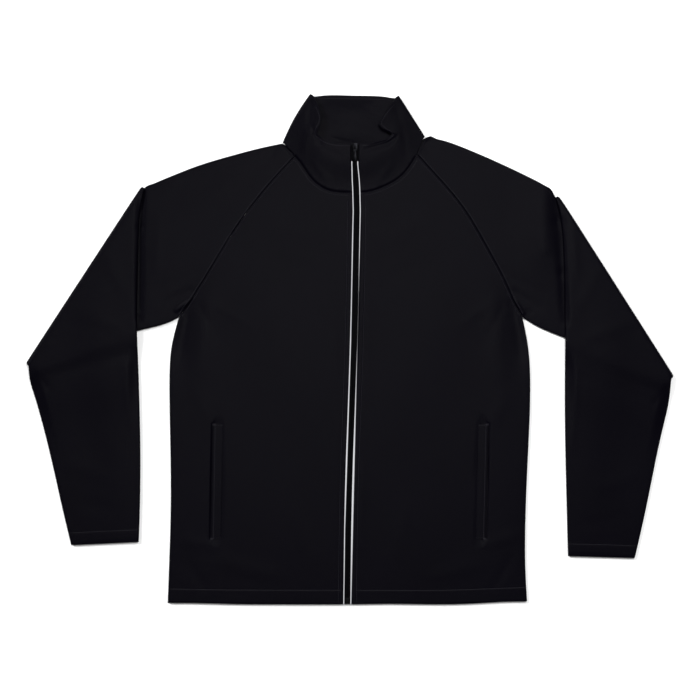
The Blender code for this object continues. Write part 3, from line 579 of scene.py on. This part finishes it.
# %% [markdown]
# ## Body, sleeves and collar
# Each piece gets the lines that belong to it: the seams that join it, the hem or cuff that is turned up
# and stitched, and the topstitching beside the zip. The doubled cloth of a hem or a seam allowance
# stands a third of a millimetre proud, which is what makes sewn cloth look sewn.

# %% Smooth copies of the sewn pieces
SEWN = "front_right", "front_left", "sleeve_right", "sleeve_left", "back", "collar", "collar_facing"
NAMES = {"front": "front_panel", "sleeve": "raglan_sleeve", "back": "back_panel", "collar": "collar_band"}
cloth = {}
COLLAR_LEVELS, LEVELS = 3, 2
for node in SEWN:
    part, _, half = node.partition("_")
    name = "collar_inner_band" if half == "facing" else NAMES[part] + (half and "_" + half)
    cloth[node] = smooth_copy(node, name, COLLAR_LEVELS if node == "collar" else LEVELS)
print("smooth copies:", ", ".join(piece.name for piece in cloth.values()))


# %% Where two pieces meet
def meeting_line(line, first, second, reach=3.0, step=6.0):
    """The line where the upper surface changes from one piece to another, near a drawn line."""
    trees = [height_tree(cloth[first]), height_tree(cloth[second])]
    found, ways = along(line, step)
    offsets, met = np.arange(-reach, reach, 0.1), []
    for point, (way_x, way_y) in zip(found, ways):
        tops = []
        for offset in offsets:
            spot = (Vector((*(point + offset * np.array([-way_y, way_x])), 100)) + MIDDLE) * MM
            hits = [tree.ray_cast(spot, Vector((0, 0, -1)))[0] for tree in trees]
            tops.append(int(np.argmax([hit.z if hit else -1 for hit in hits])))
        changes = np.flatnonzero(np.diff(tops))
        nearest = offsets[changes[np.argmin(abs(offsets[changes]))]] + 0.05 if len(changes) else 0
        met.append(point + nearest * np.array([-way_y, way_x]))
    return np.array(met)


seams = {side: {"raglan": meeting_line(RAGLAN[side], f"front_{side}", f"sleeve_{side}"),
                "neck": meeting_line(NECK[side], f"front_{side}", "collar")} for side in SIGN}
print("points on a raglan seam:", len(seams["left"]["raglan"]))

# %% Front panels
HEM_WIDTH, CUFF_WIDTH = 22, 19
SEAM_GROOVE, STITCH_GROOVE = (1.5, 0.75, 0.10), (0.9, 0.16, 0.05)  # half width, depth and pucker
TWIN_ROW = 3.0  # from a raglan seam to each of its two rows of stitches
NECK_ROW, ZIP_ROW = 5.5, 14.0
MOUTH, RECESS = 1.0, 0.9  # the slit beside a welt, and how deep the welt is sewn into the panel
MOUTH_WIDTH, MOUTH_DEPTH = 1.9, -2.4
SEWN_DOWN = 7.9  # from a pocket's outer edge to the middle of its welt
DOUBLED, ZIP_DOUBLED = 0.3, 0.25  # how far a doubled layer stands proud, at the seams and beside the zip
rows = {}
for side, sign in SIGN.items():
    seam, neck = seams[side]["raglan"], seams[side]["neck"]
    rows[f"raglan_body_{side}"] = beside(seam, sign * TWIN_ROW)
    rows[f"raglan_sleeve_{side}"] = beside(seam, -sign * TWIN_ROW)
    rows[f"neck_{side}"] = beside(neck, -sign * NECK_ROW)
    rows[f"zip_{side}"] = np.array(zip_row(side, ZIP_ROW, HEM_Y + 4, COLLAR_SEAM_Y - 8))
    rows[f"hem_{side}"], rows[f"cuff_{side}"] = np.array(HEM[side]), np.array(CUFF[side])
    mouth, sewn_down = (np.array(POCKET[side]) + (sign * shift, 0) for shift in (MOUTH, -SEWN_DOWN))
    stitched = [rows[f"{name}_{side}"] for name in ("raglan_body", "neck", "zip", "hem")]
    panel = cloth[f"front_{side}"]
    refine(panel, [seam, neck, mouth] + stitched)
    hem_edge = np.array(HEM[side]) - (0, HEM_WIDTH / 2)
    press(panel, CREASES[f"front_{side}"] + [(*mouth[0], *mouth[1], MOUTH_WIDTH, MOUTH_WIDTH, MOUTH_DEPTH)],
          [(seam, *SEAM_GROOVE), (neck, *SEAM_GROOVE)]
          + [(row, *STITCH_GROOVE) for row in stitched],
          [(seam, TWIN_ROW - 0.2, DOUBLED), (hem_edge, HEM_WIDTH / 2, DOUBLED),
           (zip_row(side, ZIP_ROW / 2 + 3, HEM_Y, COLLAR_SEAM_Y), ZIP_ROW / 2 - 3.4, ZIP_DOUBLED),
           (sewn_down, SEWN_DOWN, -RECESS)])

# %% Forearms that slope from the fold down to the table
# The top of the step in each solid, where the forearm leaves the upper arm: (x, y) of its two ends.
# Then the forearm's inner and outer edges, away from which the step is eased.
STEP = {"right": [(-340, 14), (-490, -22)], "left": [(340, 10), (495, -46)]}
FOREARM_EDGES = {
    "right": ([(-330, 30), (-328, -230)], [(-505, -21), (-489, -80), (-472, -140), (-452, -230)]),
    "left": ([(335, 30), (336, -230)], [(505, -41), (497, -80), (483, -140), (463, -230)]),
}
SLOPE_LIFT, LIFT_AT = 3.7, 38.0  # the greatest rise, and how far below the step's top it is
LIFT_ABOVE, LIFT_BELOW, EDGE_FADE = 22.0, 58.0, 18.0  # how far it fades above, below and at the edges


def ease_step(piece, side):
    """Spreads the step below the elbow over a hand's length, away from the forearm's edges."""
    points = mesh_points(piece)
    plan = points[:, :2] - np.array(MIDDLE)[:2]
    (x0, y0), (x1, y1) = STEP[side]
    below = y0 + (y1 - y0) * (plan[:, 0] - x0) / (x1 - x0) - plan[:, 1] - LIFT_AT
    lift = np.exp(-((below / np.where(below < 0, LIFT_ABOVE, LIFT_BELOW)) ** 2))
    edge = np.min([nearest_on(line, plan)[0] for line in FOREARM_EDGES[side]], axis=0)
    inside = (abs(plan[:, 0]) > abs(x0) - 12) * soft_step(edge, 0.5, EDGE_FADE)
    layer = 1 - soft_step(depths(piece, points, 1), WALL + WALL_END[0], WALL + WALL_END[1])
    points[:, 2] += SLOPE_LIFT * lift * inside * layer * soft_step(points[:, 2], *LAYER_FADE)
    put_points(piece, points)


print("the forearms rise", SLOPE_LIFT, "mm below the elbows")

# %% Sleeves, each folded over itself
# Cloth gathered beside the collar and at the shoulder folds pushes the outline out: x, y, shift along
# X and Y, half width along X and Y, and the highest z that still moves
PUSHES = {
    "right": [(-316, 254, -0.5, 2.0, 9, 9, 6.2)],
    "left": [(126, 330, 0, 3.2, 5.5, 7, 20), (313, 249, 1.5, 2.4, 9, 9, 6.2)],
}
for side, sign in SIGN.items():
    seam = np.concatenate([seams[side]["raglan"], SHOULDER[side][1:]])
    seam_back = along(RAGLAN_BACK[side], 6)[0]
    rows[f"raglan_back_sleeve_{side}"] = beside(RAGLAN_BACK[side], -sign * TWIN_ROW)
    sleeve = cloth[f"sleeve_{side}"]
    refine(sleeve, [seam, rows[f"raglan_sleeve_{side}"], rows[f"cuff_{side}"]])
    refine(sleeve, [seam_back, rows[f"raglan_back_sleeve_{side}"], rows[f"cuff_{side}"]], -1, False)
    ease_step(sleeve, side)
    cuff_edge = np.array(CUFF[side]) - (0, CUFF_WIDTH / 2)
    press(sleeve, CREASES[f"sleeve_{side}"],
          [(seam, *SEAM_GROOVE), (rows[f"raglan_sleeve_{side}"], *STITCH_GROOVE),
           (rows[f"cuff_{side}"], *STITCH_GROOVE)],
          [(seam, TWIN_ROW - 0.2, DOUBLED), (cuff_edge, CUFF_WIDTH / 2, DOUBLED)], HOLLOWS[f"sleeve_{side}"])
    press(sleeve, UNDERSIDE[f"sleeve_{side}"],
          [(seam_back, *SEAM_GROOVE), (rows[f"raglan_back_sleeve_{side}"], *STITCH_GROOVE),
           (rows[f"cuff_{side}"], *STITCH_GROOVE)], side=-1)
    points = mesh_points(sleeve)
    plan = points[:, :2] - np.array(MIDDLE)[:2]
    for x, y, shift_x, shift_y, wide, tall, highest in PUSHES[side]:
        near = np.exp(-(((plan[:, 0] - x) / wide) ** 2) - ((plan[:, 1] - y) / tall) ** 2)
        near *= soft_step(points[:, 2], 0.5, 3) * (points[:, 2] < highest)
        points[:, :2] += near[:, None] * (shift_x, shift_y)
    put_points(sleeve, points)

# %% Back, collar and facing
CROWN, CROWN_TOP = 3.8, 5  # how far the facing bulges up inside the neck, and the highest z that moves
CROWN_X, CROWN_Y = (-47, -27, 32, 48), (321, 335, 372, 392)  # where it starts, is full, fades and ends
back_neck = along(NECK_BACK, 6)[0]
BACK_HEM = [(-281, -371), (0, -370.5), (274, -369.5)]
COLLAR_BACK = [(-50, 391.6), (6, 391.4), (62, 389.8)]  # the stitched top edge of the facing
EDGE_ROW = 3.5  # from the collar's edge to its stitches
back_seams = [along(RAGLAN_BACK[side], 6)[0] for side in SIGN] + [back_neck]
for side, sign in SIGN.items():
    rows[f"raglan_back_body_{side}"] = beside(RAGLAN_BACK[side], sign * TWIN_ROW)
rows["neck_back"] = beside(NECK_BACK, -NECK_ROW)
rows["hem_back"] = np.array(BACK_HEM)
back, band, facing = cloth["back"], cloth["collar"], cloth["collar_facing"]
back_rows = [rows[name] for name in ("raglan_back_body_right", "raglan_back_body_left", "neck_back",
                                     "hem_back")]
refine(back, back_seams + back_rows, -1, False)
press(back, UNDERSIDE["back"], [(line, *SEAM_GROOVE) for line in back_seams]
      + [(line, *STITCH_GROOVE) for line in back_rows], side=-1)

neck_seams = [seams[side]["neck"] for side in SIGN]
for side, sign in SIGN.items():
    edge_row = beside(COLLAR_EDGE[side], -sign * EDGE_ROW)
    edge_row[:, 0] += edge_shift(edge_row)
    rows[f"collar_edge_{side}"] = edge_row
rows["collar_back"] = np.array(COLLAR_BACK)
refine(facing, [rows["collar_back"]])
press(band, CREASES["collar"], [(line, *SEAM_GROOVE) for line in neck_seams])
press(band, UNDERSIDE["collar"], [(back_neck, *SEAM_GROOVE)], side=-1)
shift_edge(band)
press(facing, CREASES["collar_facing"], [(rows["collar_back"], 1.2, 0.3, 0.06)], wall=1.0)
shift_edge(facing)
points = mesh_points(facing)
plan = points[:, :2] - np.array(MIDDLE)[:2]
crown = np.ones(len(points))
for values, (start, full, fading, end) in zip(plan.T, (CROWN_X, CROWN_Y)):
    crown *= soft_step(values, start, full) * (1 - soft_step(values, fading, end))
points[:, 2] += CROWN * crown * (points[:, 2] < CROWN_TOP)
put_points(facing, points)
print("rows to stitch:", len(rows))

# %% [markdown]
# ## Pocket edges
# Each pocket is a slit on the outer side of a narrow welt. The welt's open edge stands up a little, and
# its other edge is sewn flat into the panel, so the welt is thinned towards that edge. The mouth itself is
# the deep groove that was pressed beside it.

# %% Welts
WELT, WELT_WIDTH = 1.0, 15.0
THINNED, THINNED_FROM = 0.42, 0.25  # taken off at the sewn edge, and the share of the width where it starts
ROW_AT, ROW_WIDTH, ROW_DEPTH = 0.22, 0.05, 0.15  # the dent of the long row of stitches, along that width


def pocket_frame(side):
    """The pocket's outer edge from bottom to top, and the direction that crosses it inwards."""
    top, bottom = np.array(POCKET[side], float)
    return bottom, top, np.array([-SIGN[side], 0.0])


for side, sign in SIGN.items():
    welt = smooth_copy(f"pocket_welt_{side}", f"pocket_edge_{side}", 3, cut_edge=0.6)
    points = mesh_points(welt)
    plan = points[:, :2] - np.array(MIDDLE)[:2]
    across = nearest_on(POCKET[side], plan)[0] / WELT_WIDTH
    top_side = np.clip(1 - depths(welt, points, 1) / WELT, 0, 1)
    row = np.exp(-(((across - ROW_AT) / ROW_WIDTH) ** 2))
    points[:, 2] -= RECESS + top_side * (THINNED * soft_step(across, THINNED_FROM, 1.0) + ROW_DEPTH * row)
    put_points(welt, points)
    cloth[f"pocket_welt_{side}"] = welt
length = np.linalg.norm(np.subtract(*POCKET["left"]))
print("pocket mouths", round(length), "mm long")

# %% [markdown]
# ## The cloth's cuts
# Each piece of cloth has listed what flat piece it was cut from: the width and length of a rectangle round
# the cut, in metres, and the cut's own area where it isn't a rectangle. Areas come from the drawn
# outlines, two layers of them for a sleeve, and for a collar band from its mean length times its mean
# height. None is read from a mesh, so comparing each with half its piece's surface is a real test.

# %% Cuts: width, length, area or None for a rectangle, how it is held, and what it rests on
CUTS = {
    "front_right": (0.288, 0.698, 0.1650, "laid", "back"),
    "front_left": (0.279, 0.701, 0.1623, "laid", "back"),
    "back": (0.566, 0.712, 0.3428, "laid", "table"),
    "sleeve_right": (0.434, 0.782, 0.2357, "folded", "table"),
    "sleeve_left": (0.426, 0.781, 0.2288, "folded", "table"),
    "collar": (0.486, 0.0975, 0.0338, "folded", "table"),
    "collar_facing": (0.474, 0.0956, 0.0320, "folded", "collar"),
    "pocket_welt_right": (0.015, 0.178, None, "laid", "front_right"),
    "pocket_welt_left": (0.015, 0.178, None, "laid", "front_left"),
}


def declare(piece, width, length, area, held, rests_on):
    """Prints how half of a piece's mesh surface compares with its cut."""
    half = sum(face.area for face in piece.data.polygons) / 2
    print(f"{piece.name}: half its surface is {half / (area or width * length):.2f} of its cut")


for node, (width, length, area, held, rest) in CUTS.items():
    piece, inner = cloth[node], node == "collar_facing"
    piece.data.shade_smooth()
    # The collar's facing takes the copy of the shell cloth painted lighter against the shade inside the
    # collar.
    piece.data.materials.append(LIGHTENED_FACING_CLOTH if inner else SHELL)
    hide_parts(node)
    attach(piece, "garment")
    declare(piece, width, length, area, held, cloth[rest] if rest in cloth else table)

# %% [markdown]
# ## Topstitching
# A stitch is a tiny pill of thread that sinks a little into the cloth. One low-poly sphere is stretched
# into that pill and copied along each sewn line, turned to the line's direction and laid on whatever
# surface a ray finds there. Dense short rows across the ends of a pocket are its bar tacks.

# %% One pill of thread
STITCH_SIDES, STITCH_RINGS = 6, 4


def stitch_mesh(length, width):
    """A pill of thread along X, a little flatter than it is wide."""
    pill = bmesh.new()
    bmesh.ops.create_uvsphere(pill, u_segments=STITCH_SIDES, v_segments=STITCH_RINGS, radius=0.5)
    bmesh.ops.rotate(pill, verts=pill.verts, cent=(0, 0, 0), matrix=Matrix.Rotation(math.pi / 2, 3, "Y"))
    bmesh.ops.scale(pill, verts=pill.verts, vec=(length * MM, width * MM, width * 0.8 * MM))
    made = bpy.data.meshes.new("stitch")
    pill.to_mesh(made)
    pill.free()
    return made


# %% Rows of stitches as one piece
def stitch_rows(name, lines, surfaces, side=1, pitch=3.2, length=2.4, width=0.5):
    """All the stitches of these lines, on the first of the surfaces that a ray from this side meets.

    Where no surface lies under the line, or it is too steep to sew, there is no stitch.
    """
    template = stitch_mesh(length, width)
    trees = [height_tree(cloth[node]) for node in surfaces]
    thread, count = bmesh.new(), 0
    for line in lines:
        for point, way in zip(*along(line, pitch)):
            above = (Vector((*point, 0)) + MIDDLE) * MM + Vector((0, 0, side * 0.1))
            hits = [tree.ray_cast(above, Vector((0, 0, -side)))[:2] for tree in trees]
            hits = [hit for hit in hits if hit[0] is not None]
            if not hits:
                continue
            place, normal = max(hits, key=lambda hit: side * hit[0].z)
            if side * normal.z < 0.3:
                continue
            forward = Vector((*way, 0))
            forward = (forward - normal * forward.dot(normal)).normalized()
            turn = Matrix((forward, normal.cross(forward), normal)).transposed().to_4x4()
            first = len(thread.verts)
            thread.from_mesh(template)
            thread.verts.ensure_lookup_table()
            bmesh.ops.transform(thread, verts=thread.verts[first:],
                                matrix=Matrix.Translation(place + normal * 0.06 * MM) @ turn)
            count += 1
    mesh = bpy.data.meshes.new(name)
    thread.to_mesh(mesh)
    thread.free()
    bpy.data.meshes.remove(template)
    mesh.shade_smooth()
    mesh.materials.append(THREAD)
    piece = link_object(name, mesh)
    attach(piece, "garment")
    print(name, count, "stitches")


# %% Sew the front
# Around a pocket, in millimetres: the end rows' inset and reach, the long row's inset, and the bar tacks
END_INSET, END_REACH, LONG_INSET = 1.2, (1.0, 16.0), 3.3
TACK_REACH, TACK_ROWS = (-1.2, 3.2), (-1.2, -0.6, 0.0, 0.6, 1.2)
for side, sign in SIGN.items():
    front, sleeve = f"front_{side}", f"sleeve_{side}"
    stitch_rows(f"raglan_stitches_{side}", [rows[f"raglan_body_{side}"], rows[f"raglan_sleeve_{side}"]],
                [front, sleeve])
    stitch_rows(f"neck_stitches_{side}", [rows[f"neck_{side}"]], [front])
    stitch_rows(f"hem_stitches_{side}", [rows[f"hem_{side}"]], [front])
    stitch_rows(f"cuff_stitches_{side}", [rows[f"cuff_{side}"]], [sleeve])
    stitch_rows(f"zip_stitches_{side}", [rows[f"zip_{side}"]], [front])
    bottom, top, inwards = pocket_frame(side)
    ends = [[at + inwards * reach for reach in END_REACH]
            for at in (top - (0, END_INSET), bottom + (0, END_INSET))]
    long_row = [bottom + inwards * LONG_INSET, top + inwards * LONG_INSET]
    stitch_rows(f"pocket_stitches_{side}", ends + [long_row],
                [front, f"pocket_welt_{side}"], pitch=2.8, length=2.3)
    tacks = [[at + inwards * reach + (0, up) for reach in TACK_REACH]
             for at in (top, bottom) for up in TACK_ROWS]
    stitch_rows(f"pocket_tacks_{side}", tacks, [front, f"pocket_welt_{side}"],
                pitch=1.1, length=1.3, width=0.4)

# %% Sew the collar, the back and the undersides
stitch_rows("collar_edge_stitches", [rows["collar_edge_right"], rows["collar_edge_left"]], ["collar"])
stitch_rows("collar_back_stitches", [rows["collar_back"]], ["collar_facing"])
stitch_rows("neck_back_stitches", [rows["neck_back"]], ["back"], side=-1)
stitch_rows("hem_back_stitches", [rows["hem_back"]], ["back"], side=-1)
for side in SIGN:
    stitch_rows(f"raglan_back_stitches_{side}",
                [rows[f"raglan_back_body_{side}"], rows[f"raglan_back_sleeve_{side}"]],
                ["back", f"sleeve_{side}"], side=-1)
    stitch_rows(f"cuff_back_stitches_{side}", [rows[f"cuff_{side}"]], [f"sleeve_{side}"], side=-1)

# %% [markdown]
# ## The zip
# Its two tapes and pipings keep their solids' shapes with softened edges. The chain between the
# pipings is a nylon coil, which shows as two rows of small ribs that meet in the middle. One rib is a
# bevelled bar, copied along the zip's centre line. The slider and its pull are dark metal.

# %% Coil of the zip
TAPE_TOP, RIB_PITCH = 4.2, 1.5
RIB_LENGTH, RIB_WIDTH, RIB_HEIGHT, RIB_BEVEL = 2.5, 0.85, 0.9, 0.22
RIB_OFFSET, RIB_LIFT, RIB_SLANT = 1.5, 0.46, 0.16  # its middle from the centre line and tape, and its turn
LIFT_START, LIFT_LENGTH, LIFT = 249.3, 58.0, 7.0
COIL_END_Y = 306


def zip_lift(y):
    """How far the zip has risen above the front panels, on its way up the collar."""
    t = min(max((y - LIFT_START) / LIFT_LENGTH, 0), 1)
    return LIFT * t * t * (3 - 2 * t)


def rib_mesh():
    """One bevelled rib of the coil, across the zip."""
    rib = bmesh.new()
    bmesh.ops.create_cube(rib, size=1)
    bmesh.ops.scale(rib, verts=rib.verts, vec=(RIB_LENGTH * MM, RIB_WIDTH * MM, RIB_HEIGHT * MM))
    bmesh.ops.bevel(rib, geom=rib.edges[:], offset=RIB_BEVEL * MM, offset_type="OFFSET", segments=1,
                    profile=0.5, affect="EDGES", material=-1)
    made = bpy.data.meshes.new("rib")
    rib.to_mesh(made)
    rib.free()
    return made


template, coil = rib_mesh(), bmesh.new()
for y in np.arange(HEM_Y + 12, COIL_END_Y, RIB_PITCH):
    for sign in (-1, 1):
        at_y = y + (0 if sign > 0 else RIB_PITCH / 2)
        place = Vector((zip_x(at_y) + sign * RIB_OFFSET, at_y, TAPE_TOP + RIB_LIFT + zip_lift(at_y))) + MIDDLE
        first = len(coil.verts)
        coil.from_mesh(template)
        coil.verts.ensure_lookup_table()
        bmesh.ops.transform(coil, verts=coil.verts[first:], matrix=Matrix.Translation(place * MM)
                            @ Matrix.Rotation(sign * RIB_SLANT, 4, "Z"))
coil_mesh = bpy.data.meshes.new("zip_coil")
coil.to_mesh(coil_mesh)
coil.free()
bpy.data.meshes.remove(template)
coil_mesh.materials.append(NYLON)
coil_piece = link_object("zip_coil", coil_mesh)
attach(coil_piece, "garment")
print("zip coil", len(coil_mesh.polygons), "faces")


# %% A hard or narrow node with softened edges
def softened_copy(node, name, material, body, width, segments=2, angle=35, reshape=None):
    """A copy of a node with its sharp edges bevelled, after reshape has moved its points."""
    shape = bmesh.new()
    shape.from_mesh(nodes[node].data)
    bmesh.ops.remove_doubles(shape, verts=shape.verts, dist=2e-6)
    if reshape:
        reshape(shape)
    bmesh.ops.dissolve_limit(shape, angle_limit=math.radians(1), verts=shape.verts, edges=shape.edges)
    sharp = [edge for edge in shape.edges
             if edge.is_manifold and edge.calc_face_angle() > math.radians(angle)]
    bmesh.ops.bevel(shape, geom=sharp, offset=width * MM, offset_type="OFFSET", segments=segments,
                    profile=0.5, affect="EDGES", material=-1, clamp_overlap=True)
    mesh = bpy.data.meshes.new(name)
    shape.to_mesh(mesh)
    shape.free()
    mesh.shade_smooth()
    mesh.set_sharp_from_angle(angle=math.radians(50))
    mesh.materials.clear()
    mesh.materials.append(material)
    piece = link_object(name, mesh)
    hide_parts(node)
    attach(piece, body)
    print(name, len(mesh.polygons), "faces")
    return piece


# %% A slimmer piping that closes in towards its top
PIPING_OFFSET, PIPING_SLIM = 5.5, 0.75
CLOSING_START, CLOSING_LENGTH, CLOSING = 262, 28, 0.9
SHORTENED_FROM, SHORTENING = 280, 0.78


def slim_piping(sign):
    """Returns a reshape that narrows one piping, draws it to the zip at its top and shortens it there."""
    def reshape(shape):
        for vert in shape.verts:
            y = vert.co.y / MM - MIDDLE.y
            centre = zip_x(y) + MIDDLE.x + sign * PIPING_OFFSET
            closer = CLOSING * float(soft_step(np.array(y), CLOSING_START, CLOSING_START + CLOSING_LENGTH))
            if y > SHORTENED_FROM:
                vert.co.y = (SHORTENED_FROM + (y - SHORTENED_FROM) * SHORTENING + MIDDLE.y) * MM
            vert.co.x = (centre - sign * closer + (vert.co.x / MM - centre) * PIPING_SLIM) * MM
    return reshape


# %% Tapes, pipings, foot, slider and pull
TAPE_CUT = 0.0124, 0.715
# A piping is given as cut 10 mm wide, a lower bound rather than a measured width. A piping is cut 10 mm
# wide, the least that a sheet may state. Only the 4.4 mm that folds lengthwise into a bead of 1.5 by 2 mm
# shows and is modelled, so the area is that of the bead's strip.
PIPING_CUT, BEAD_STRIP = (0.010, 0.690), 0.0044
for side, sign in SIGN.items():
    tape = softened_copy(f"zip_tape_{side}", f"zip_tape_weave_{side}", TAPE, "garment", 0.2)
    declare(tape, *TAPE_CUT, None, "laid", cloth["back"])
    piping = softened_copy(f"piping_{side}", f"silver_piping_{side}", SILVER,
                           "garment", 0.4, 3, reshape=slim_piping(sign))
    declare(piping, *PIPING_CUT, BEAD_STRIP * PIPING_CUT[1], "folded", tape)
softened_copy("zip_box", "zip_foot", NYLON, "garment", 0.3)
softened_copy("zip_slider", "slider_body", METAL, "garment", 0.28, 3)
softened_copy("zip_pull", "pull_tab", METAL, "zip_pull", 0.22, 3)
